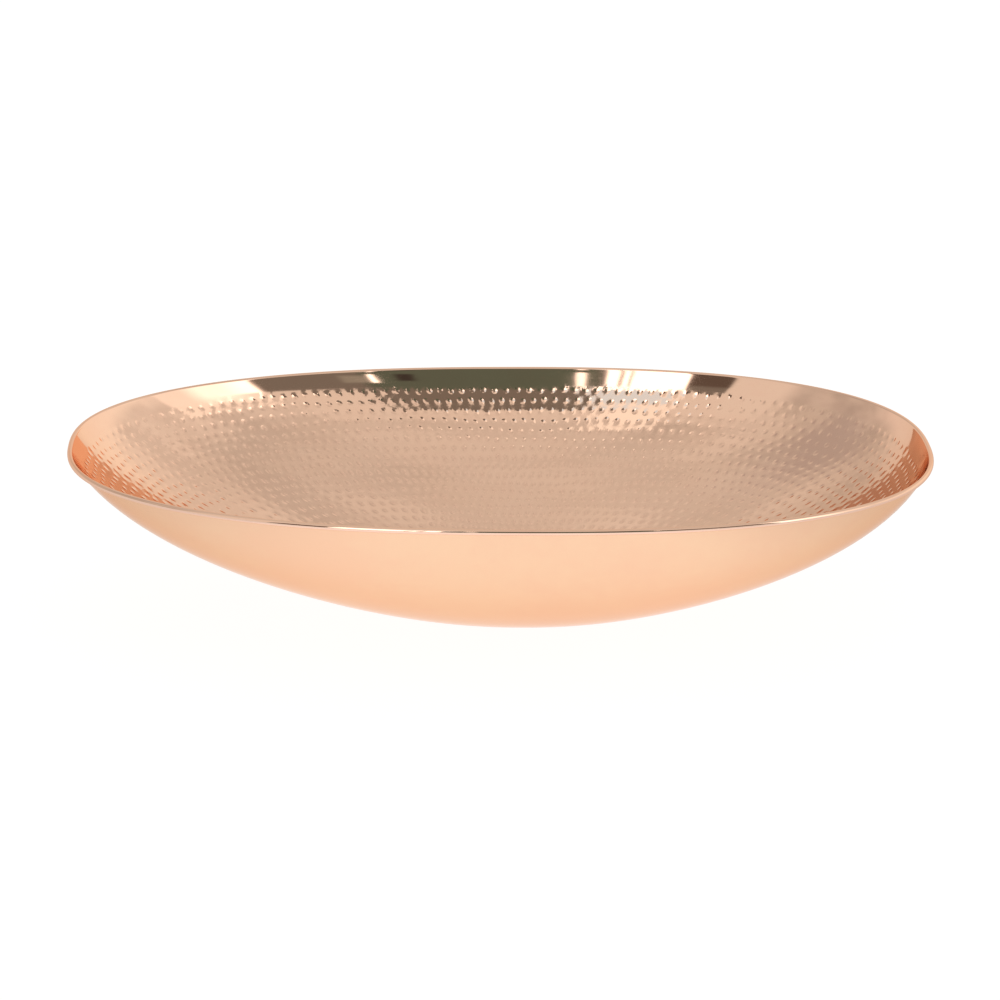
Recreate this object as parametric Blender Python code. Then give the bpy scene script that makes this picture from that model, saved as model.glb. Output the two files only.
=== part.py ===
"""Hammered copper tray: one raised copper sheet whose edge is rolled round a wire.

Metres, +Z up.  The origin is on the surface the tray stands on, under the middle of its outline,
with the long way along X.  The sheet is drawn as one thin skin, its outer face, which runs from
the flat base up the wall and on round the inside of the rolled edge, and Solidify then gives it
its thickness on the other side, so that the hammered inside and the outside of the roll are one face.
"""
import math

import bmesh
import bpy
import numpy as np

# Overall size
LENGTH = 0.560
WIDTH = 0.3645
HEIGHT = 0.113

# Sheet and wired edge
SHEET = 0.0008
WIRE_RADIUS = 0.0007
WIRE_GAP = 0.0003
ROLL_INSIDE = WIRE_RADIUS + WIRE_GAP
ROLL_OUTSIDE = ROLL_INSIDE + SHEET
ROLL_END = math.radians(-120)      # the sheet's edge stops here, short of the wall

# Outline: a superellipse, a little fuller towards +X, that turns to a plain oval at the base
RIM_SQUARENESS = 2.4
BASE_SQUARENESS = 2.1
FULLER_END = 0.044
BASE_SHIFT = 0.0113                # the base lies this far towards +X

# Wall: the curve 1 - (1 - t ** FLARE) ** STEEPNESS, t = 0 at the base, cut off at t = CUT_OFF,
# just before it would stand upright, so that the rim keeps a little draft
BASE_SHARE = 0.20                  # the flat base's share of the outline
FLARE = 1.26
STEEPNESS = 0.514
CUT_OFF = 0.97

# Fineness
AROUND = 72
WALL_STEPS = 12
ROLL_STEPS = 10
WIRE_RINGS = 2

RIM_HEIGHT = HEIGHT - ROLL_OUTSIDE                    # the middle of the roll
HALF_LENGTH = LENGTH / 2 - ROLL_INSIDE - ROLL_OUTSIDE   # the wall's outer face at the rim
HALF_WIDTH = WIDTH / 2 - ROLL_INSIDE - ROLL_OUTSIDE

COPPER = (0.93, 0.60, 0.42, 1.0)
STEEL = (0.45, 0.44, 0.43, 1.0)


def clear_scene():
    """Take away every object that the file opened with."""
    for old in list(bpy.data.objects):
        bpy.data.objects.remove(old, do_unlink=True)


def metal(name, colour, roughness):
    """A plain metal with the given colour and roughness."""
    material = bpy.data.materials.new(name)
    material.use_nodes = True
    shader = material.node_tree.nodes["Principled BSDF"]
    shader.inputs["Base Color"].default_value = colour
    shader.inputs["Metallic"].default_value = 1.0
    shader.inputs["Roughness"].default_value = roughness
    return material


def outline(share, height):
    """One level of the wall's outer face: share of the rim's size, at this height."""
    turn = np.arange(AROUND) * 2 * math.pi / AROUND
    across, along = np.sin(turn), np.cos(turn)
    power = 2 / (BASE_SQUARENESS + (RIM_SQUARENESS - BASE_SQUARENESS) * share)
    sink = 1 - height / RIM_HEIGHT
    x = HALF_LENGTH * share * np.sign(along) * np.abs(along) ** power + BASE_SHIFT * sink
    y = HALF_WIDTH * share * np.sign(across) * np.abs(across) ** power
    y = y * (1 + FULLER_END * along)
    return np.stack([x, y, np.full(AROUND, height)], axis=1)


def wall_curve(t):
    """The wall's rise at t, before it is scaled to the rim's height."""
    return 1 - (1 - t ** FLARE) ** STEEPNESS


def wall_levels():
    """Levels from the base's edge to the rim, closer together where the wall turns up."""
    levels = []
    for step in range(WALL_STEPS + 1):
        t = math.sin(math.pi / 2 * step / WALL_STEPS)
        share = BASE_SHARE + (1 - BASE_SHARE) * t
        levels.append((share, RIM_HEIGHT * wall_curve(CUT_OFF * t) / wall_curve(CUT_OFF)))
    return levels


def outward(loop):
    """The level direction square to a closed outline, pointing away from the tray."""
    run = np.roll(loop, -1, axis=0) - np.roll(loop, 1, axis=0)
    square = np.stack([run[:, 1], -run[:, 0], np.zeros(len(loop))], axis=1)
    return square / np.linalg.norm(square, axis=1)[:, None]


def wire_line():
    """The middle line of the wire and of the roll round it."""
    rim = outline(1.0, RIM_HEIGHT)
    return rim + outward(rim) * ROLL_INSIDE


def roll_levels():
    """The inside of the roll, from the top of the wall over the wire and down outside it."""
    middle = wire_line()
    side = outward(middle)
    levels = []
    for step in range(1, ROLL_STEPS + 1):
        angle = math.pi + (ROLL_END - math.pi) * step / ROLL_STEPS
        lift = np.array([0.0, 0.0, ROLL_INSIDE * math.sin(angle)])
        levels.append(middle + side * ROLL_INSIDE * math.cos(angle) + lift)
    return levels


def add_ring(mesh, points):
    """A closed ring of edges through the points."""
    corners = [mesh.verts.new(point) for point in points]
    return [mesh.edges.new((corners[i - 1], corners[i])) for i in range(len(corners))]


def copper_tray():
    """The copper sheet: base, wall and rolled edge."""
    rings = [outline(share, height) for share, height in wall_levels()]
    rings = [outline(BASE_SHARE * 0.6, 0.0)] + rings + roll_levels()
    skin = bmesh.new()
    edges = [add_ring(skin, points) for points in rings]
    for lower, upper in zip(edges, edges[1:]):
        bmesh.ops.bridge_loops(skin, edges=lower + upper)
    bmesh.ops.contextual_create(skin, geom=edges[0])
    bmesh.ops.recalc_face_normals(skin, faces=skin.faces)
    base = min(skin.faces, key=lambda face: face.calc_center_median().length)
    if base.normal.z > 0:
        bmesh.ops.reverse_faces(skin, faces=skin.faces)
    mesh = bpy.data.meshes.new("copper_tray")
    skin.to_mesh(mesh)
    skin.free()
    mesh.shade_smooth()
    mesh.set_sharp_from_angle(angle=math.radians(40))
    mesh.materials.append(metal("copper", COPPER, 0.12))
    tray = bpy.data.objects.new("hammered_bowl", mesh)
    bpy.context.scene.collection.objects.link(tray)
    wall = tray.modifiers.new("sheet", "SOLIDIFY")
    wall.thickness = SHEET
    wall.offset = -1.0
    wall.use_even_offset = False
    wall.use_rim = True
    return tray


def rim_wire():
    """The wire inside the rolled edge, a closed loop."""
    curve = bpy.data.curves.new("rim_wire", "CURVE")
    curve.dimensions = "3D"
    curve.bevel_depth = WIRE_RADIUS
    curve.bevel_resolution = WIRE_RINGS
    path = curve.splines.new("POLY")
    points = wire_line()
    path.points.add(len(points) - 1)
    for corner, point in zip(path.points, points):
        corner.co = (*point, 1.0)
    path.use_cyclic_u = True
    path.use_smooth = True
    curve.materials.append(metal("wire_steel", STEEL, 0.45))
    wire = bpy.data.objects.new("rim_wire", curve)
    bpy.context.scene.collection.objects.link(wire)
    return wire


clear_scene()
copper_tray()
rim_wire()
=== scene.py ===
# %% [markdown]
# # A hammered copper tray
#
# The real tray is one sheet of copper.  It is sunk and raised into a long oval bowl, hammered all
# over from the inside, planished and polished smooth outside, and its edge is rolled outwards round
# a wire so that it is stiff and kind to the hands.
#
# The lesson builds it the same way: first the curves that say where the metal runs, then the rows
# of hammer blows, then one closed mesh, and then the finish of the metal.

# %% Load the fixed model
import math

import bpy
import numpy as np
from mathutils import Matrix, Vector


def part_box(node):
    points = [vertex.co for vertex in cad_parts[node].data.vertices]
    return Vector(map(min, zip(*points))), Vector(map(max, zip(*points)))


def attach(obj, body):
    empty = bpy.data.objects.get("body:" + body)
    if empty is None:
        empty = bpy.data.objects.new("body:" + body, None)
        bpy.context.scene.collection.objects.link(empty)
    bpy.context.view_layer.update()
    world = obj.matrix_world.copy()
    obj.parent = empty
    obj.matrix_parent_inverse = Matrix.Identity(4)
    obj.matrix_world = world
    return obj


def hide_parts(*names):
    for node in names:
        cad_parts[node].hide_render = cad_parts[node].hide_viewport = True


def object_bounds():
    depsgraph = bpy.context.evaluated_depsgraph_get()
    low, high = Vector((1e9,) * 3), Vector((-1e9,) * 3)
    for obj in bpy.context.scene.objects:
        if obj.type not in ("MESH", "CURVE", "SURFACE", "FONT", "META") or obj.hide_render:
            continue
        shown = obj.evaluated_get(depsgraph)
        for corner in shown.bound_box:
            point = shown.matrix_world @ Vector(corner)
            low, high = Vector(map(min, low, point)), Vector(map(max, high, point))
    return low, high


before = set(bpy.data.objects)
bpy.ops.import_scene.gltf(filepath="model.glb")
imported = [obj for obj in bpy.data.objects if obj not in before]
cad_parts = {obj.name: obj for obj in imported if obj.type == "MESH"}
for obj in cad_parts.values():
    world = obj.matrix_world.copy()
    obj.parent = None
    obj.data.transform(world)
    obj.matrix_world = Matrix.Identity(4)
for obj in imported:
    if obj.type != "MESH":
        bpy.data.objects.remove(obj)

CAD_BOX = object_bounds()
print("the fixed model spans", [round(side, 4) for side in CAD_BOX[1] - CAD_BOX[0]], "m")

# %% [markdown]
# ## Sizes
#
# Nothing here is measured by hand.  The box of the whole tray and the box of its rim wire give the
# length, width and height, the wire's thickness and the height of the rolled edge.  Only the
# thickness of the sheet is a number of our own: 0.8 millimetres, usual for a copper tray this size.

# %% Take the sizes from the fixed model
SHEET = 0.0008
low, high = (np.array(corner) for corner in CAD_BOX)
wire_low, wire_high = (np.array(corner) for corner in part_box("rim_wire"))
WIRE_RADIUS = (wire_high[2] - wire_low[2]) / 2
RIM_HEIGHT = (wire_high[2] + wire_low[2]) / 2
ROLL_OUTSIDE = high[2] - RIM_HEIGHT
ROLL_INSIDE = ROLL_OUTSIDE - SHEET
OVERHANG = ROLL_INSIDE + ROLL_OUTSIDE
print(f"wire {2e3 * WIRE_RADIUS:.1f} mm thick, rolled edge {2e3 * ROLL_OUTSIDE:.1f} mm thick")

# %% [markdown]
# ## The outline
#
# Seen from above the tray is a superellipse, an oval with slightly squared shoulders.  A plain
# ellipse has x = a cos(turn) and y = b sin(turn); raising the sine and the cosine to a power below
# one pushes the shoulders out.  Near the base the outline relaxes to an almost plain oval.  The
# tray is hand raised, so one end is a touch fuller and the base sits a little towards that end.

# %% The outline and the wall as one function of two numbers
RIM_SQUARENESS, BASE_SQUARENESS = 2.4, 2.1
FULLER_END = 0.044
BASE_SHIFT = 0.0113
BASE_SHARE = 0.20
FLARE, STEEPNESS, CUT_OFF = 1.26, 0.514, 0.97


def signed_power(value, power):
    """The size of the value to a power, with the value's own sign."""
    return np.sign(value) * np.abs(value) ** power


def oval(share, turn):
    """Unit outline: cosine and sine to the power 2 / squareness, fuller where the cosine is positive."""
    power = 2 / (BASE_SQUARENESS + (RIM_SQUARENESS - BASE_SQUARENESS) * share)
    across = signed_power(np.sin(turn), power) * (1 + FULLER_END * np.cos(turn))
    return signed_power(np.cos(turn), power), across


CIRCLE_SAMPLES = 7201
circle = np.linspace(0, 2 * math.pi, CIRCLE_SAMPLES)
HALF_LENGTH = (high[0] - low[0]) / 2 - OVERHANG
HALF_WIDTH = ((high[1] - low[1]) / 2 - OVERHANG) / oval(1.0, circle)[1].max()
print(f"wall at the rim: {2 * HALF_LENGTH:.4f} by {2 * HALF_WIDTH:.4f} m")

# %% [markdown]
# ## The wall
#
# A second number, the climb, runs from -1 in the middle of the base, over 0 at the base's edge, to
# 1 at the rim.  The outline grows with the climb, and the height follows a curve that starts flat,
# passes 45 degrees and is cut off just before it would stand upright, like a boat's side.  Climb and
# turn together reach every point of the outer face, so whole arrays of points are worked out at once.


# %% The outer face of the metal
TINY_STEP = 1e-4


def wall_curve(reach):
    """Rise of the wall = 1 - (1 - reach^flare)^steepness."""
    return 1 - (1 - reach ** FLARE) ** STEEPNESS


def outer_face(climb, turn):
    """Share of the outline = base's share + sine of the climb x the rest; height from the wall curve."""
    reach = np.sin(np.clip(climb, 0, 1) * math.pi / 2)
    share = BASE_SHARE * (1 + np.minimum(climb, 0)) + (1 - BASE_SHARE) * reach
    height = RIM_HEIGHT * wall_curve(CUT_OFF * reach) / wall_curve(CUT_OFF)
    x, y = oval(share, turn)
    shift = BASE_SHIFT * (1 - height / RIM_HEIGHT)
    return np.stack([HALF_LENGTH * share * x + shift, HALF_WIDTH * share * y, height], axis=-1)


def unit(vectors):
    """The same directions with length one."""
    return vectors / np.maximum(np.linalg.norm(vectors, axis=-1, keepdims=True), 1e-12)


def face_directions(climb, turn):
    """Down the wall, round the tray and square to the metal (inwards), from small differences."""
    safe = np.clip(climb, -1 + 2 * TINY_STEP, 1 - TINY_STEP)
    down = outer_face(safe - TINY_STEP, turn) - outer_face(safe + TINY_STEP, turn)
    around = outer_face(safe, turn + TINY_STEP) - outer_face(safe, turn - TINY_STEP)
    inward = unit(np.cross(around, down))
    return unit(down), unit(around), inward * np.sign(inward[..., 2:] + 1e-9)


sample = outer_face(np.array([-1.0, 0.0, 0.5, 1.0]), np.zeros(4))
print("heights from the base's middle to the rim:", sample[:, 2].round(4))

# %% [markdown]
# ## Where the hammer rows run
#
# The smith works in rings.  The first row lies a steady distance below the rim, the next ones
# follow it, and towards the middle the rings close in on the base.  To lay them out, the distance
# down the wall is measured along the metal for a set of directions, and turned round: given a row
# number, how far up is it?  Fractions of a turn are counted along the rim's own length, so that
# the blows are evenly spaced there.

# %% Measure the wall and lay out the rows
FIRST_ROW = 0.0146
ROW_STEP = 0.0073
BLOW_STEP = 0.0080
ROWS = 32
BAND_ROWS = -(FIRST_ROW / ROW_STEP - 0.5)
DIRECTIONS = 144
CLIMB_SAMPLES, ROW_SAMPLES = 801, 400

rim_run = np.linalg.norm(np.diff(outer_face(np.ones_like(circle), circle), axis=0), axis=1)
rim_length = rim_run.sum()
rim_share = np.concatenate([[0], np.cumsum(rim_run)]) / rim_length


def turn_at(part):
    """The turn angle at a part (0 to 1) of the way round the rim, measured along the metal."""
    return np.interp(part % 1.0, rim_share, circle)


climbs = np.linspace(1, -1, CLIMB_SAMPLES)
row_grid = np.linspace(BAND_ROWS, ROWS, ROW_SAMPLES)


def climb_of_rows(turn):
    """For one direction: distance down = rows x step near the rim, easing to an equal split."""
    points = outer_face(climbs, np.full_like(climbs, turn))
    down = np.concatenate([[0], np.cumsum(np.linalg.norm(np.diff(points, axis=0), axis=1))])
    start = FIRST_ROW - ROW_STEP / 2
    deep = np.clip(row_grid / ROWS, 0, 1)
    ease = deep * deep * (3 - 2 * deep)
    wanted = start + row_grid * ROW_STEP * (1 - ease) + (down[-1] - start) * deep * ease
    return np.interp(wanted, down, climbs)


row_climbs = np.stack([climb_of_rows(turn_at(i / DIRECTIONS)) for i in range(DIRECTIONS)], axis=1)


def climb_at(row, part):
    """The climb at a row number and a part of the way round, read from the laid-out rows."""
    up = np.clip((row - BAND_ROWS) / (ROWS - BAND_ROWS), 0, 1) * (len(row_grid) - 1)
    side = (part % 1.0) * DIRECTIONS
    i, j = np.minimum(up.astype(int), len(row_grid) - 2), side.astype(int) % DIRECTIONS
    a, b, k = up - i, side - np.floor(side), (j + 1) % DIRECTIONS
    upper = row_climbs[i, j] * (1 - b) + row_climbs[i, k] * b
    lower = row_climbs[i + 1, j] * (1 - b) + row_climbs[i + 1, k] * b
    return upper * (1 - a) + lower * a


print(f"rim {rim_length:.3f} m round, {ROWS} rows of blows")

# %% [markdown]
# ## How many blows in a row
#
# A row keeps the count of the row outside it, so the blows stay staggered like bricks.  They crowd
# as the rings shrink, and when they have become too close the smith drops to a smaller count.

# %% Count the blows in each row
CROWDED, ROOMY = 0.72, 0.92
FEWEST_BLOWS = 6
RING_SAMPLES = 361


def ring_length(row):
    """Length of one ring, from points along it."""
    part = np.linspace(0, 1, RING_SAMPLES)
    points = outer_face(climb_at(np.full_like(part, row), part), turn_at(part))
    return np.linalg.norm(np.diff(points, axis=0), axis=1).sum()


blows = [round(rim_length / BLOW_STEP)]
for row in range(1, ROWS):
    length = ring_length(row + 0.5)
    count = blows[-1]
    if length / count < CROWDED * BLOW_STEP:
        count = max(FEWEST_BLOWS, round(length / (ROOMY * BLOW_STEP)))
    blows.append(count)
BLOWS = np.array(blows)
print("blows per row:", BLOWS.tolist())

# %% [markdown]
# ## The blows
#
# A small round punch leaves a shallow dish in the wall, with plain metal left between the dishes.
# A dish with a soft lip is (1 - (distance / radius)^2)^2.  No two blows are alike, so each one slips
# a little and has its own force.  These come from sines of the blow's and the row's number: far too
# fast to show a rule, yet a shader can work out the same ones, so that the mesh and the material
# agree on every blow.  The function gives the slopes too, because polished metal shows slopes, not
# depths.  Sizes are counted in blows along a ring and in rows across it.

# %% One function for every blow
BLOW_DEPTH = 0.00010
BLOW_SIZE = 0.46
ROW_SQUASH = 0.90
SLIPS = {"aside": (0.10, 12.99, 78.23), "along": (0.07, 39.35, 11.14), "force": (0.22, 27.17, 91.73)}


def slip(kind, blow, ring):
    """A blow's own share = amount x sine(blow x a + ring x b)."""
    amount, per_blow, per_ring = SLIPS[kind]
    return amount * np.sin(blow * per_blow + ring * per_ring)


def hammer(row, part):
    """Depth (0 to 1) and its slopes per row and per blow, from the deepest of the nearest dishes."""
    best = np.zeros(row.shape)
    slope_row, slope_part = np.zeros(row.shape), np.zeros(row.shape)
    for near in (-1, 0, 1):
        ring = np.floor(row).astype(int) + near
        real = (ring >= 0) & (ring < ROWS)
        ring = np.clip(ring, 0, ROWS - 1)
        spot = part * BLOWS[ring] - 0.5 * (ring % 2)
        blow = np.round(spot)
        which = blow % BLOWS[ring]
        aside = spot - blow - slip("aside", which, ring)
        along = (row - ring - 0.5 - slip("along", which, ring)) * ROW_SQUASH
        lip = np.maximum(1 - (aside ** 2 + along ** 2) / BLOW_SIZE ** 2, 0)
        force = 1 + slip("force", which, ring)
        depth = force * lip ** 2
        wins = real & (depth > best)
        steep = -4 * force * lip / BLOW_SIZE ** 2
        best = np.where(wins, depth, best)
        slope_row = np.where(wins, steep * along * ROW_SQUASH, slope_row)
        slope_part = np.where(wins, steep * aside, slope_part)
    return best, slope_row, slope_part


# %% [markdown]
# ## The smith's hand
#
# The rows also wander a little.  Instead of moving the blows, the sheet of rows and parts itself is
# bent by a few long waves, so the pattern stays simple and its picture on the metal is hand made.


# %% Bend the rows a little
STRAIGHT_ROWS = 3
SWAY = ((0.10, 7, 1.0), (0.07, 23, -1.7))
DRIFT = ((0.12, 5, 0.6), (0.05, 31, 2.3))


def waves(table, row, part):
    """Sum of amount x sine(waves round the tray x angle + twist x row)."""
    angle = part * 2 * math.pi
    return sum(amount * np.sin(count * angle + twist * row) for amount, count, twist in table)


def wander(row, part):
    """Shifts by a few long waves: under a fifth of a row and of a blow, fading in below the band."""
    fade = np.clip(row / STRAIGHT_ROWS, 0, 1)
    return row + waves(SWAY, row, part) * fade, part + waves(DRIFT, row, part) * fade / BLOWS[0]


test_rows = np.linspace(0, 12, 4000)
print("mean depth of the blows:", round(float(hammer(test_rows, test_rows / 37)[0].mean()), 3))

# %% [markdown]
# ## Rings of the sheet
#
# The closed surface of the sheet is one long path carried round the tray: from the middle of the
# hammered inside up to the rim, over the outside of the roll, round the cut edge, back along the
# inside of the roll and down the polished outside to the middle of the base.  Each ring on that
# path has its own number of points, many where the blows are, few where the metal is plain.

# %% Rings on the inside, the roll and the outside
PER_BLOW, PER_ROW = 5, 4
SMALLEST_RUN = 0.001
ROLL_END = math.radians(-120)


def ring_parts(count):
    """Evenly spaced parts of the way round."""
    return np.arange(count) / count


def inside_ring(row, count):
    """A ring of the hammered face: outer face plus the sheet, less the depth of the blows."""
    part = ring_parts(count)
    place_row, place_part = wander(np.full(count, float(row)), part)
    climb, turn = climb_at(place_row, place_part), turn_at(place_part)
    down, around, inward = face_directions(climb, turn)
    depth, per_row, per_blow = hammer(np.full(count, float(row)), part)
    blow_run = max(ring_length(row) / BLOWS[min(max(int(row), 0), ROWS - 1)], SMALLEST_RUN)
    tilt = (per_row / ROW_STEP)[:, None] * down + (per_blow / blow_run)[:, None] * around
    points = outer_face(climb, turn) + inward * (SHEET - BLOW_DEPTH * depth)[:, None]
    return points, unit(inward + BLOW_DEPTH * tilt)


def outside_ring(row, count):
    """A ring of the polished face, looking away from the bowl."""
    part = ring_parts(count)
    place_row, place_part = wander(np.full(count, float(row)), part)
    climb, turn = climb_at(place_row, place_part), turn_at(place_part)
    return outer_face(climb, turn), -face_directions(climb, turn)[2]


def roll_line(count):
    """The middle line of the wire, and the level direction away from the tray."""
    turn = turn_at(ring_parts(count))
    top = np.ones(count)
    run = outer_face(top, turn + TINY_STEP) - outer_face(top, turn - TINY_STEP)
    side = unit(np.stack([run[:, 1], -run[:, 0], np.zeros(count)], axis=1))
    return outer_face(top, turn) + side * ROLL_INSIDE, side


def roll_ring(angle, radius, facing, count):
    """A ring round the wire: middle + radius x (cosine outwards + sine upwards)."""
    middle, side = roll_line(count)
    spoke = side * math.cos(angle) + np.array([0, 0, math.sin(angle)])
    return middle + spoke * radius, spoke * facing


print("the roll stands", round(1e3 * OVERHANG, 2), "mm outside the wall")

# %% [markdown]
# ## Joining rings that differ in number
#
# Two neighbouring rings are joined like a zip.  All steps of both rings are sorted by how far round
# they happen, and each step makes one triangle with the point that the other ring has reached.
# It works for any two counts, and no loop over points is needed.


# %% The zip
def zip_rings(count_a, count_b):
    """Triangles between ring a and ring b: (corner numbers, which ring each is on)."""
    when = np.concatenate([(np.arange(count_a) + 0.5) / count_a, (np.arange(count_b) + 0.5) / count_b])
    on_a = np.arange(count_a + count_b) < count_a
    order = np.argsort(when, kind="stable")
    on_a = on_a[order]
    at_a = np.cumsum(on_a) - on_a
    at_b = np.cumsum(~on_a) - ~on_a
    third = np.where(on_a, at_a + 1, at_b + 1)
    corners = np.stack([at_a, third, at_b], axis=1)
    rings = np.stack([np.zeros_like(at_a), np.where(on_a, 0, 1), np.ones_like(at_a)], axis=1)
    return corners, rings


class Skin:
    """A growing closed surface: add rings in order, then make the mesh."""

    def __init__(self):
        self.points, self.normals, self.counts, self.rows = [], [], [], []
        self.scales, self.finish = [], []

    def add(self, ring, row, scale, finish):
        """Add a ring; row and scale place it in the pattern, finish is the strip's material."""
        points, normals = ring
        self.points.append(points)
        self.normals.append(normals)
        self.counts.append(len(points))
        self.rows.append(row)
        self.scales.append(scale)
        self.finish.append(finish)

    def mesh(self, name, materials):
        """Zip all rings together into one mesh with its own normals and pattern coordinates."""
        starts = np.concatenate([[0], np.cumsum(self.counts)])
        faces, across, down, finish = [], [], [], []
        for i in range(len(self.counts) - 1):
            counts = np.array(self.counts[i:i + 2])
            corners, rings = zip_rings(*counts)
            if counts[0] == 1:
                keep = rings[:, 1] == 1
            elif counts[1] == 1:
                keep = rings[:, 1] == 0
            else:
                keep = np.ones(len(corners), bool)
            corners, rings = corners[keep], rings[keep]
            faces.append(starts[i + rings] + corners % counts[rings])
            across.append(corners / counts[rings] * self.scales[i + 1])
            down.append(np.array(self.rows[i:i + 2], float)[rings])
            finish.append(np.full(len(corners), self.finish[i + 1]))
        faces = np.concatenate(faces)[:, ::-1]
        uv = np.stack([np.concatenate(across)[:, ::-1], np.concatenate(down)[:, ::-1]], axis=-1)
        mesh = bpy.data.meshes.new(name)
        mesh.from_pydata(np.concatenate(self.points), [], faces, shade_flat=False)
        mesh.uv_layers.new(name="Pattern").data.foreach_set("uv", uv.astype(np.float32).ravel())
        for material in materials:
            mesh.materials.append(material)
        mesh.polygons.foreach_set("material_index", np.concatenate(finish).astype(np.int32))
        mesh.update()
        mesh.normals_split_custom_set_from_vertices(np.concatenate(self.normals))
        return mesh


print("a zip of 3 and 4 points has", len(zip_rings(3, 4)[0]), "triangles")

# %% [markdown]
# ## Shared finishes
#
# Effects that more than one metal here uses are node groups, built once.  They only give colours,
# masks and heights; the shader itself stays in each material.


# %% A small helper for wiring nodes
class Wiring:
    """Adds nodes to a tree and links them, reading left to right."""

    def __init__(self, tree):
        self.tree = tree

    def node(self, kind, **settings):
        """A new node of this kind with the given settings."""
        made = self.tree.nodes.new(kind)
        for key, value in settings.items():
            setattr(made, key, value)
        return made

    def put(self, socket, value):
        """Links an output to the socket, or sets a plain value on it."""
        if isinstance(value, bpy.types.NodeSocket):
            self.tree.links.new(value, socket)
        else:
            socket.default_value = value

    def math(self, operation, *values):
        """A Math node."""
        made = self.node("ShaderNodeMath", operation=operation)
        for socket, value in zip(made.inputs, values):
            self.put(socket, value)
        return made.outputs[0]

    def blend(self, share, first, second):
        """A colour between two colours."""
        made = self.node("ShaderNodeMix", data_type="RGBA")
        for name, value in (("Factor", share), ("A", first), ("B", second)):
            socket = [s for s in made.inputs if s.name == name and s.enabled][0]
            self.put(socket, value)
        return [s for s in made.outputs if s.enabled][0]

    def spread(self, value, low, high, to_low=0.0, to_high=1.0):
        """A smooth step from low to high."""
        made = self.node("ShaderNodeMapRange", interpolation_type="SMOOTHSTEP")
        for name, number in (("From Min", low), ("From Max", high), ("To Min", to_low), ("To Max", to_high)):
            self.put(made.inputs[name], number)
        self.put(made.inputs["Value"], value)
        return made.outputs["Result"]

    def noise(self, where, scale, detail):
        """Noise between 0 and 1."""
        made = self.node("ShaderNodeTexNoise")
        self.put(made.inputs["Vector"], where)
        self.put(made.inputs["Scale"], scale)
        self.put(made.inputs["Detail"], detail)
        return made.outputs["Fac"]


def new_group(name, inputs, outputs):
    """An empty node group with named sockets: (name, kind, value) for inputs, (name, kind) for outputs."""
    tree = bpy.data.node_groups.new(name, "ShaderNodeTree")
    for label, kind, value in inputs:
        socket = tree.interface.new_socket(label, in_out="INPUT", socket_type="NodeSocket" + kind)
        if value is not None:
            socket.default_value = value
    for label, kind in outputs:
        tree.interface.new_socket(label, in_out="OUTPUT", socket_type="NodeSocket" + kind)
    wires = Wiring(tree)
    return tree, wires, wires.node("NodeGroupInput").outputs, wires.node("NodeGroupOutput").inputs


print("helpers ready")

# %% [markdown]
# ## Copper's colour
#
# Polished copper is never one even colour.  Heat and handling leave soft clouds that are a little
# rosier or deeper, tens of millimetres across.  The group mixes two coppers by slow noise that is
# read from Object coordinates, so the clouds run through the whole tray.


# %% Copper clouds
FINE_TIMES, FINE_SHARE = 9.0, 0.3
CLOUD_FROM, CLOUD_TO = 0.38, 0.66


def make_copper_clouds():
    """Colour = first copper, moved towards the second by two sizes of noise."""
    tree, wires, given, result = new_group(
        "copper_clouds",
        [("Copper", "Color", (0.9, 0.6, 0.4, 1)), ("Rosy Copper", "Color", (0.9, 0.5, 0.4, 1)),
         ("Cloud Scale", "Float", 14.0), ("Share", "Float", 0.5)],
        [("Color", "Color")])
    where = wires.node("ShaderNodeTexCoord").outputs["Object"]
    slow = wires.noise(where, given["Cloud Scale"], 2.0)
    fine = wires.noise(where, wires.math("MULTIPLY", given["Cloud Scale"], FINE_TIMES), 4.0)
    both = wires.math("MULTIPLY_ADD", fine, FINE_SHARE, wires.math("MULTIPLY", slow, 1 - FINE_SHARE))
    cloud = wires.spread(both, CLOUD_FROM, CLOUD_TO)
    wires.put(result["Color"], wires.blend(wires.math("MULTIPLY", cloud, given["Share"]),
                                           given["Copper"], given["Rosy Copper"]))
    return tree


copper_clouds = make_copper_clouds()
print("copper_clouds:", len(copper_clouds.nodes), "nodes")

# %% [markdown]
# ## Polishing lines
#
# A buffing wheel is run along the rim, so its hair-fine lines follow the rings.  The pattern
# coordinates count blows along a ring and rows across it, so noise stretched along the first of
# them lies the right way everywhere.


# %% Polishing lines
def make_polish_lines():
    """Height = noise drawn out along the rings; haze = the same noise, coarser, for roughness."""
    tree, wires, given, result = new_group(
        "polish_lines",
        [("Along", "Float", 0.3), ("Across", "Float", 14.0)],
        [("Height", "Float"), ("Haze", "Float")])
    pattern = wires.node("ShaderNodeTexCoord").outputs["UV"]
    split = wires.node("ShaderNodeSeparateXYZ")
    wires.put(split.inputs[0], pattern)
    joined = wires.node("ShaderNodeCombineXYZ")
    wires.put(joined.inputs[0], wires.math("MULTIPLY", split.outputs[0], given["Along"]))
    wires.put(joined.inputs[1], wires.math("MULTIPLY", split.outputs[1], given["Across"]))
    wires.put(result["Height"], wires.noise(joined.outputs[0], 1.0, 5.0))
    wires.put(result["Haze"], wires.noise(joined.outputs[0], 0.2, 3.0))
    return tree


polish_lines = make_polish_lines()
print("polish_lines:", len(polish_lines.nodes), "nodes")

# %% [markdown]
# ## The pattern of blows, as a mask
#
# The mesh has the wide, soft dishes.  This group finds the same blows from the pattern coordinates
# and puts the sharper mark of the punch's tip in the middle of each, a cone with a rounded point.
# A material can then treat each single blow differently, and the outside can show the faint print of
# the blows on the other face of the sheet.


# %% Blow mask
TIP = 0.25
TIP_SIZE = 0.27


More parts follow.
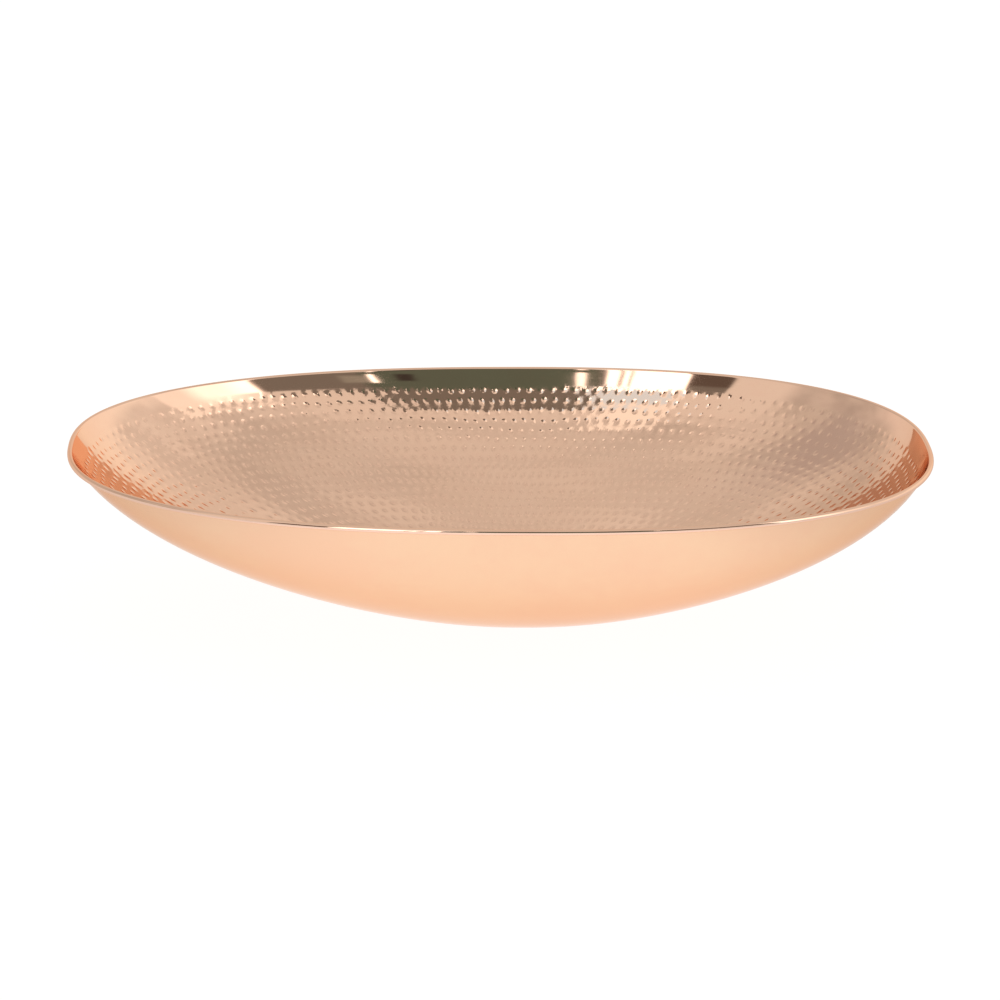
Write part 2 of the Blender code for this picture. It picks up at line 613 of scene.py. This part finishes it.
def make_blow_mask():
    """Row = whole part of V; every other row is half a blow along; dish = a cone with a rounded tip."""
    tree, wires, given, result = new_group(
        "blow_mask",
        [("Size", "Float", TIP_SIZE), ("Squash", "Float", ROW_SQUASH)],
        [("Dish", "Float"), ("Blow", "Float"), ("Row", "Float")])
    split = wires.node("ShaderNodeSeparateXYZ")
    wires.put(split.inputs[0], wires.node("ShaderNodeTexCoord").outputs["UV"])
    along, row = split.outputs[0], split.outputs[1]
    ring = wires.math("FLOOR", row)
    stagger = wires.math("MULTIPLY", wires.math("FLOORED_MODULO", ring, 2.0), 0.5)
    spot = wires.math("SUBTRACT", along, stagger)
    number = wires.math("ROUND", spot)

    def slip_of(kind):
        """The same sine as the mesh uses for this blow."""
        amount, per_blow, per_ring = SLIPS[kind]
        angle = wires.math("MULTIPLY_ADD", number, per_blow, wires.math("MULTIPLY", ring, per_ring))
        return wires.math("MULTIPLY", wires.math("SINE", angle), amount)

    aside = wires.math("SUBTRACT", wires.math("SUBTRACT", spot, number), slip_of("aside"))
    offset = wires.math("SUBTRACT", wires.math("FRACT", row), 0.5)
    lengthways = wires.math("MULTIPLY", wires.math("SUBTRACT", offset, slip_of("along")), given["Squash"])
    square = wires.math("ADD", wires.math("MULTIPLY", aside, aside),
                        wires.math("MULTIPLY", lengthways, lengthways))
    size_square = wires.math("MULTIPLY", given["Size"], given["Size"])
    cone = wires.math("SQRT", wires.math("ADD", wires.math("DIVIDE", square, size_square), TIP ** 2))
    dish = wires.math("SUBTRACT", math.hypot(1, TIP), cone)
    inside = wires.math("GREATER_THAN", row, 0.0)
    dish = wires.math("MULTIPLY", wires.math("MAXIMUM", dish, 0.0), inside)
    wires.put(result["Dish"], wires.math("MULTIPLY", dish, wires.math("ADD", 1.0, slip_of("force"))))
    label = wires.node("ShaderNodeCombineXYZ")
    wires.put(label.inputs[0], number)
    wires.put(label.inputs[1], ring)
    dice = wires.node("ShaderNodeTexWhiteNoise", noise_dimensions="2D")
    wires.put(dice.inputs["Vector"], label.outputs[0])
    wires.put(result["Blow"], dice.outputs["Value"])
    wires.put(result["Row"], row)
    return tree


blow_mask = make_blow_mask()
print("blow_mask:", len(blow_mask.nodes), "nodes")

# %% [markdown]
# ## The metals
#
# Four finishes share those groups: the hammered inside, the polished outside, the burnished rim and
# the drawn steel wire.  All are fully metallic; what sets them apart is colour, roughness and relief.


# %% Metal maker
EDGE_TINT = (0.93, 0.74, 0.62, 1)


def start_metal(name, strength, depth):
    """A metallic material: its wiring, its shader, and one bump node of this depth for a height."""
    material = bpy.data.materials.new(name)
    material.use_nodes = True
    wires = Wiring(material.node_tree)
    shader = material.node_tree.nodes["Principled BSDF"]
    shader.inputs["Metallic"].default_value = 1.0
    shader.inputs["Specular Tint"].default_value = EDGE_TINT
    bump = wires.node("ShaderNodeBump")
    bump.inputs["Strength"].default_value = strength
    bump.inputs["Distance"].default_value = depth
    wires.put(shader.inputs["Normal"], bump.outputs["Normal"])
    return material, wires, shader, bump


def use_group(wires, tree, **values):
    """Places a node group and sets its inputs by name."""
    made = wires.node("ShaderNodeGroup", node_tree=tree)
    for label, value in values.items():
        wires.put(made.inputs[label.replace("_", " ")], value)
    return made.outputs


print("metal maker ready")

# %% [markdown]
# The inside is given a paler copper than the outside.  Light is mirrored in the bowl several times
# and takes on more of the metal's colour each time, and the paler metal keeps it from turning too
# orange.  Roughness is a steady part plus a share of the haze of the polishing lines; height is the
# marks of the tools in shares of the bump's depth.

# %% The four metals
COPPER = (0.955, 0.635, 0.430, 1)
ROSY = (0.945, 0.590, 0.405, 1)
PALE = (0.965, 0.665, 0.520, 1)
PALE_ROSY = (0.950, 0.625, 0.490, 1)
PALE_DEEP = (0.940, 0.620, 0.460, 1)
DARK_STEEL, LIGHT_STEEL = (0.42, 0.41, 0.40, 1), (0.52, 0.50, 0.48, 1)
TIP_DEPTH, PRINT_DEPTH, MALLET_DEPTH, DRAWN_DEPTH = 0.00017, 0.00004, 0.00006, 0.00004
GRAIN_SCALE, GRAIN_SHARE = 260.0, 0.20
DISH_TONE, BLOW_TONE = 0.6, 0.25
MALLET_SCALE = 60.0
PRINT_ROWS = (5.0, 0.5)


def hammered_copper():
    """Inside: crisp dishes with a tone of their own, and fine planishing grain on the metal between."""
    material, wires, shader, bump = start_metal("hammered_copper", 1.0, TIP_DEPTH)
    colour = use_group(wires, copper_clouds, Copper=PALE, Rosy_Copper=PALE_DEEP, Cloud_Scale=16.0, Share=0.3)
    blow = use_group(wires, blow_mask)
    lines = use_group(wires, polish_lines, Along=0.5, Across=3.0)
    single = wires.math("MULTIPLY", blow["Blow"], BLOW_TONE)
    tone = wires.math("MULTIPLY_ADD", blow["Dish"], DISH_TONE, single)
    wires.put(shader.inputs["Base Color"], wires.blend(tone, colour["Color"], PALE_ROSY))
    gloss = wires.math("MULTIPLY_ADD", blow["Blow"], 0.02, 0.045)
    wires.put(shader.inputs["Roughness"], wires.math("MULTIPLY_ADD", lines["Haze"], 0.03, gloss))
    grain = wires.noise(wires.node("ShaderNodeTexCoord").outputs["Object"], GRAIN_SCALE, 2.0)
    pressed = wires.math("MULTIPLY", blow["Dish"], -1.0)
    wires.put(bump.inputs["Height"], wires.math("MULTIPLY_ADD", grain, GRAIN_SHARE, pressed))
    return material


def polished_copper():
    """Outside: almost a mirror, with polishing lines and the faint print of the blows near the rim."""
    material, wires, shader, bump = start_metal("polished_copper", 0.6, PRINT_DEPTH)
    colour = use_group(wires, copper_clouds, Copper=COPPER, Rosy_Copper=ROSY, Cloud_Scale=11.0, Share=0.7)
    wires.put(shader.inputs["Base Color"], colour["Color"])
    blow = use_group(wires, blow_mask)
    lines = use_group(wires, polish_lines, Along=0.25, Across=9.0)
    wires.put(shader.inputs["Roughness"], wires.math("MULTIPLY_ADD", lines["Haze"], 0.06, 0.08))
    printed = wires.math("MULTIPLY", blow["Dish"], wires.spread(blow["Row"], *PRINT_ROWS))
    wires.put(bump.inputs["Height"], wires.math("MULTIPLY_ADD", lines["Height"], 0.12, printed))
    return material


def burnished_rim():
    """The smooth band and the rolled edge: the brightest polish, a little wavy from the mallet."""
    material, wires, shader, bump = start_metal("burnished_rim", 0.5, MALLET_DEPTH)
    colour = use_group(wires, copper_clouds, Copper=PALE, Rosy_Copper=PALE_ROSY, Cloud_Scale=30.0, Share=0.6)
    wires.put(shader.inputs["Base Color"], colour["Color"])
    lines = use_group(wires, polish_lines, Along=0.12, Across=16.0)
    wires.put(shader.inputs["Roughness"], wires.math("MULTIPLY_ADD", lines["Haze"], 0.03, 0.035))
    mallet = wires.noise(wires.node("ShaderNodeTexCoord").outputs["Object"], MALLET_SCALE, 1.0)
    wires.put(bump.inputs["Height"], wires.math("MULTIPLY_ADD", lines["Height"], 0.05, mallet))
    return material


def drawn_wire():
    """Plain steel wire with long drawing lines and a little dullness."""
    material, wires, shader, bump = start_metal("drawn_wire", 0.4, DRAWN_DEPTH)
    lines = use_group(wires, polish_lines, Along=0.4, Across=5.0)
    wires.put(shader.inputs["Base Color"], wires.blend(lines["Haze"], DARK_STEEL, LIGHT_STEEL))
    wires.put(shader.inputs["Roughness"], wires.math("MULTIPLY_ADD", lines["Haze"], 0.25, 0.28))
    wires.put(bump.inputs["Height"], lines["Height"])
    return material


HAMMERED, BURNISHED, POLISHED = 0, 1, 2
metals = [hammered_copper(), burnished_rim(), polished_copper()]
print("metals:", [metal.name for metal in metals])

# %% [markdown]
# ## The sheet
#
# Now the rings are added in the order of the path.  Four rings to every row of blows on the inside,
# then the smooth band, the roll, its cut edge, and the outside, which needs far fewer.

# %% Build the copper sheet
ROLL_START = math.radians(156)
ROLL_TURNS = 18
ROLL_COUNT = 400
INNER_TURNS = 8
ROLL_PER_ROW = 3
BAND_RINGS = 5
PLAIN_COUNT = 240

sheet = Skin()
sheet.add(tuple(part[:1] for part in inside_ring(ROWS, 4)), ROWS, BLOWS[-1], HAMMERED)
for step in range(PER_ROW * ROWS - 1, -1, -1):
    row = step / PER_ROW
    count = BLOWS[int(row)]
    sheet.add(inside_ring(row, PER_BLOW * count), row, count, HAMMERED)
for row in np.linspace(0, BAND_ROWS, BAND_RINGS + 1)[1:]:
    sheet.add(inside_ring(row, PER_BLOW * BLOWS[0]), row, BLOWS[0], BURNISHED)
for angle in np.linspace(ROLL_START, ROLL_END, ROLL_TURNS + 1):
    pattern_row = BAND_ROWS - (math.pi - angle) / ROLL_PER_ROW
    sheet.add(roll_ring(angle, ROLL_OUTSIDE, 1, ROLL_COUNT), pattern_row, BLOWS[0], BURNISHED)
for angle in np.linspace(ROLL_END, math.pi, INNER_TURNS + 1):
    sheet.add(roll_ring(angle, ROLL_INSIDE, -1, PLAIN_COUNT), BAND_ROWS, BLOWS[0], BURNISHED)
for row in range(math.ceil(BAND_ROWS), ROWS):
    sheet.add(outside_ring(row, PLAIN_COUNT), row, BLOWS[max(row, 0)], POLISHED)
sheet.add(tuple(part[:1] for part in outside_ring(ROWS, 4)), ROWS, BLOWS[-1], POLISHED)

copper = bpy.data.objects.new("beaten_copper_sheet", sheet.mesh("beaten_copper_sheet", metals))
bpy.context.scene.collection.objects.link(copper)
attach(copper, "root")
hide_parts("hammered_bowl")
print(f"the sheet has {len(copper.data.polygons)} triangles")

# %% [markdown]
# ## The wire
#
# The wire is a round bar on the roll's own middle line.  On the real tray it is out of sight but
# for a hair's breadth where the edge stops short of the wall.

# %% Build the rim wire
WIRE_AROUND, WIRE_SIDES = 480, 12


def wire_mesh():
    """Ring of circles: middle + radius x (cosine outwards + sine upwards)."""
    middle, side = roll_line(WIRE_AROUND)
    angle = np.arange(WIRE_SIDES) * 2 * math.pi / WIRE_SIDES
    spokes = side[:, None] * np.cos(angle)[None, :, None]
    spokes = spokes + np.array([0, 0, 1.0]) * np.sin(angle)[None, :, None]
    points = middle[:, None] + spokes * WIRE_RADIUS
    i, j = np.meshgrid(np.arange(WIRE_AROUND), np.arange(WIRE_SIDES), indexing="ij")
    corners_i = np.stack([i, i + 1, i + 1, i], axis=-1)
    corners_j = np.stack([j, j, j + 1, j + 1], axis=-1)
    faces = corners_i % WIRE_AROUND * WIRE_SIDES + corners_j % WIRE_SIDES
    uv = np.stack([corners_i, corners_j], axis=-1).astype(np.float32)
    mesh = bpy.data.meshes.new("rim_wire_round")
    mesh.from_pydata(points.reshape(-1, 3), [], faces.reshape(-1, 4), shade_flat=False)
    mesh.uv_layers.new(name="Pattern").data.foreach_set("uv", uv.ravel())
    mesh.materials.append(drawn_wire())
    return mesh


wire = bpy.data.objects.new("rim_wire_round", wire_mesh())
bpy.context.scene.collection.objects.link(wire)
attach(wire, "root")
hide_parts("rim_wire")
print(f"the wire has {len(wire.data.polygons)} faces")

# %% [markdown]
# ## The table
#
# Polished metal is a picture of the room around it, so the room is part of the look.  The tray
# stands on a white table that glows softly, like a light table, which leaves almost no shadow.  The
# camera sees it evenly white.  What the metal mirrors of it is dimmer towards both sides, which is
# a liberty: a real table would look the same both ways.

# %% The white table
FLOOR_HALF = 6.0
TABLE_GREY = (0.20, 0.20, 0.20, 1)
LIT_NEAR, LIT_FAR = 0.10, 0.36
LIT_MIDDLE, LIT_SIDES, LIT_SEEN = 0.90, 0.66, 0.90


def white_table():
    """A plain floor that glows white; what the metal mirrors of it falls off to both sides."""
    mesh = bpy.data.meshes.new("white_table")
    corners = [(x * FLOOR_HALF, y * FLOOR_HALF, 0) for x, y in ((-1, -1), (1, -1), (1, 1), (-1, 1))]
    mesh.from_pydata(corners, [], [(0, 1, 2, 3)])
    material = bpy.data.materials.new("white_table")
    material.use_nodes = True
    wires = Wiring(material.node_tree)
    shader = material.node_tree.nodes["Principled BSDF"]
    shader.inputs["Base Color"].default_value = TABLE_GREY
    shader.inputs["Roughness"].default_value = 0.9
    shader.inputs["Specular IOR Level"].default_value = 0.0
    place = wires.node("ShaderNodeSeparateXYZ")
    wires.put(place.inputs[0], wires.node("ShaderNodeTexCoord").outputs["Object"])
    away = wires.math("ABSOLUTE", place.outputs[0])
    mirrored = wires.spread(away, LIT_NEAR, LIT_FAR, LIT_MIDDLE, LIT_SIDES)
    seen = wires.node("ShaderNodeLightPath").outputs["Is Camera Ray"]
    unseen = wires.math("MULTIPLY", mirrored, wires.math("SUBTRACT", 1.0, seen))
    glow = wires.math("ADD", unseen, wires.math("MULTIPLY", seen, LIT_SEEN))
    shader.inputs["Emission Color"].default_value = (1, 1, 1, 1)
    wires.put(shader.inputs["Emission Strength"], glow)
    mesh.materials.append(material)
    table = bpy.data.objects.new("white_table", mesh)
    bpy.context.scene.collection.objects.link(table)


white_table()
print("table", 2 * FLOOR_HALF, "m square")

# %% [markdown]
# ## The studio
#
# The light is a soft white room of hung cloth, a little warm, brighter on one side than the other.
# It is described by direction: how far round from the camera's side, and how high above the table.
# Rectangles, some soft and some crisp, are painted over it in order.  On the camera's side the room
# is dark up to about forty degrees, and higher in its middle, and bright windows stand in it.  The
# dark line along the far wall of the tray, the white patches and the glints are the pictures of
# these in the metal.  The camera itself sees a plain white backdrop, never the room.

# %% The white room, its dark side and its windows
SIDE_LEVEL, SIDE_SWING = 0.70, 0.125
OVERHEAD, CEILING_FROM, CEILING_TO = 0.657, 30, 62
CLOTH, CLOTH_SCALE = 0.80, 3.6
LAMP_TINT = (0.985, 0.935, 0.84)
BACKDROP = (1.05, 1.05, 1.05, 1)
OLIVE = (0.113, 0.155, 0.13)
BROWN = (0.20, 0.198, 0.19)
MAROON = (0.12, 0.10, 0.09)
WINDOWS = (
    # left, right, bottom, top in degrees, softness, light
    (-135, -95, 30, 58, 10, (0.48, 0.47, 0.49)),
    (100, 260, -5, 22, 8, (0.88, 0.86, 0.86)),
    (-260, -118, -5, 16, 8, (0.82, 0.80, 0.80)),
    (-62, 42, -5, 58, 6, (0.80, 0.80, 0.80)),
    # the dark side, with a grey patch and a black one in it
    (-36.5, 46, -60, 38, 0.6, BROWN),
    (-6, 20, -60, 51, 1.0, BROWN),
    (-6, 20, -60, 37, 1.5, OLIVE),
    (19.3, 24, 27, 33, 1.0, (0.30, 0.32, 0.30)),
    (12, 14.5, 26, 31.5, 0.8, (0.05, 0.045, 0.045)),
    (-36.5, -24, -60, 33, 1.5, MAROON),
    # the window on the left with its bars, a narrow pane beside it and a slit on the right
    (-25, -6, 36, 63, 2.0, (1.10, 1.12, 1.12)),
    (-22, -6, 36, 49, 2.5, (0.78, 1.00, 1.22)),
    (-24, -11.7, 3, 37, 0.6, (2.6, 2.6, 2.7)),
    (-11.1, -9.8, 3, 37, 0.3, (2.4, 2.4, 2.5)),
    (-9.1, -7, 3, 37, 0.3, (2.6, 2.6, 2.7)),
    (-4.0, -2.6, 24, 38, 0.4, (2.2, 2.2, 2.3)),
    (17.8, 18.7, 26, 33, 0.4, (3.0, 3.0, 3.1)),
    # the wide window on the right and the light wall behind it
    (90, 155, -5, 26, 6, (1.02, 1.02, 1.0)),
    (45, 85, -2, 46, 1.5, (1.10, 1.10, 1.10)),
    (45.5, 60, -2, 38, 0.8, (2.2, 2.2, 2.3)),
    (52, 68, -2, 40, 5.0, (1.7, 1.7, 1.75)),
)


def studio():
    """Radiance = walls easing into the ceiling x folds of cloth, with the windows painted over it."""
    world = bpy.data.worlds.new("studio")
    bpy.context.scene.world = world
    world.use_nodes = True
    world.node_tree.nodes.clear()
    wires = Wiring(world.node_tree)
    split = wires.node("ShaderNodeSeparateXYZ")
    wires.put(split.inputs[0], wires.node("ShaderNodeTexCoord").outputs["Generated"])
    x, y, z = split.outputs
    round_angle = wires.math("DEGREES", wires.math("ARCTAN2", x, wires.math("MULTIPLY", y, -1.0)))
    height = wires.math("DEGREES", wires.math("ARCSINE", z))

    def window(left, right, bottom, top, soft):
        """Mask of a soft rectangle in degrees round and degrees high."""
        sides = wires.math("MULTIPLY", wires.spread(round_angle, left - soft, left + soft),
                           wires.spread(round_angle, right + soft, right - soft))
        ends = wires.math("MULTIPLY", wires.spread(height, bottom - soft, bottom + soft),
                          wires.spread(height, top + soft, top - soft))
        return wires.math("MULTIPLY", sides, ends)

    swing = wires.math("SINE", wires.math("RADIANS", round_angle))
    sideways = wires.math("MULTIPLY_ADD", swing, SIDE_SWING, SIDE_LEVEL)
    ceiling = wires.math("MULTIPLY", wires.spread(height, CEILING_FROM, CEILING_TO),
                         wires.math("SUBTRACT", OVERHEAD, sideways))
    cloth = wires.noise(wires.node("ShaderNodeTexCoord").outputs["Generated"], CLOTH_SCALE, 2.0)
    level = wires.math("MULTIPLY", wires.math("ADD", sideways, ceiling),
                       wires.math("MULTIPLY_ADD", cloth, CLOTH, 1 - CLOTH / 2))
    walls = wires.node("ShaderNodeCombineColor")
    for socket, share in zip(walls.inputs, LAMP_TINT):
        wires.put(socket, wires.math("MULTIPLY", level, share))
    colour = walls.outputs[0]
    for left, right, bottom, top, soft, light in WINDOWS:
        tinted = [part * share for part, share in zip(light, LAMP_TINT)]
        colour = wires.blend(window(left, right, bottom, top, soft), colour, (*tinted, 1))
    camera_sees = wires.node("ShaderNodeLightPath").outputs["Is Camera Ray"]
    colour = wires.blend(camera_sees, colour, BACKDROP)
    light = wires.node("ShaderNodeBackground")
    wires.put(light.inputs["Color"], colour)
    output = wires.node("ShaderNodeOutputWorld")
    wires.put(output.inputs["Surface"], light.outputs[0])


studio()
bpy.context.scene.view_settings.view_transform = "Standard"
print("studio built with", len(WINDOWS), "windows and dark patches")

# %% [markdown]
# ## The camera
#
# A long lens from nearly three metres keeps the oval true.  It looks down at 17 degrees, from a
# little left of square on, with the tray in the middle of the picture.

# %% The camera
LENS, SENSOR = 149.66, 36.0
DISTANCE = 2.70
CAMERA_TURN = math.radians(2.057)
LOOK_DOWN = math.radians(17.0)
AIM_BELOW = math.radians(0.7456)
ROLL = math.radians(0.6245)


def camera():
    """The camera's place and its turn, from look-down angle, distance and roll."""
    data = bpy.data.cameras.new("camera")
    data.lens = LENS
    data.sensor_width = SENSOR
    data.clip_end = 50.0
    made = bpy.data.objects.new("camera", data)
    bpy.context.scene.collection.objects.link(made)
    level = DISTANCE * math.cos(LOOK_DOWN)
    made.location = (-level * math.sin(CAMERA_TURN), -level * math.cos(CAMERA_TURN),
                     RIM_HEIGHT + DISTANCE * math.sin(LOOK_DOWN))
    turn = Matrix.Rotation(-CAMERA_TURN, 3, "Z")
    tilt = Matrix.Rotation(math.pi / 2 - LOOK_DOWN - AIM_BELOW, 3, "X")
    made.rotation_euler = (turn @ tilt @ Matrix.Rotation(ROLL, 3, "Z")).to_euler()
    return made


bpy.context.scene.camera = camera()
print("camera at", [round(value, 3) for value in bpy.context.scene.camera.location])
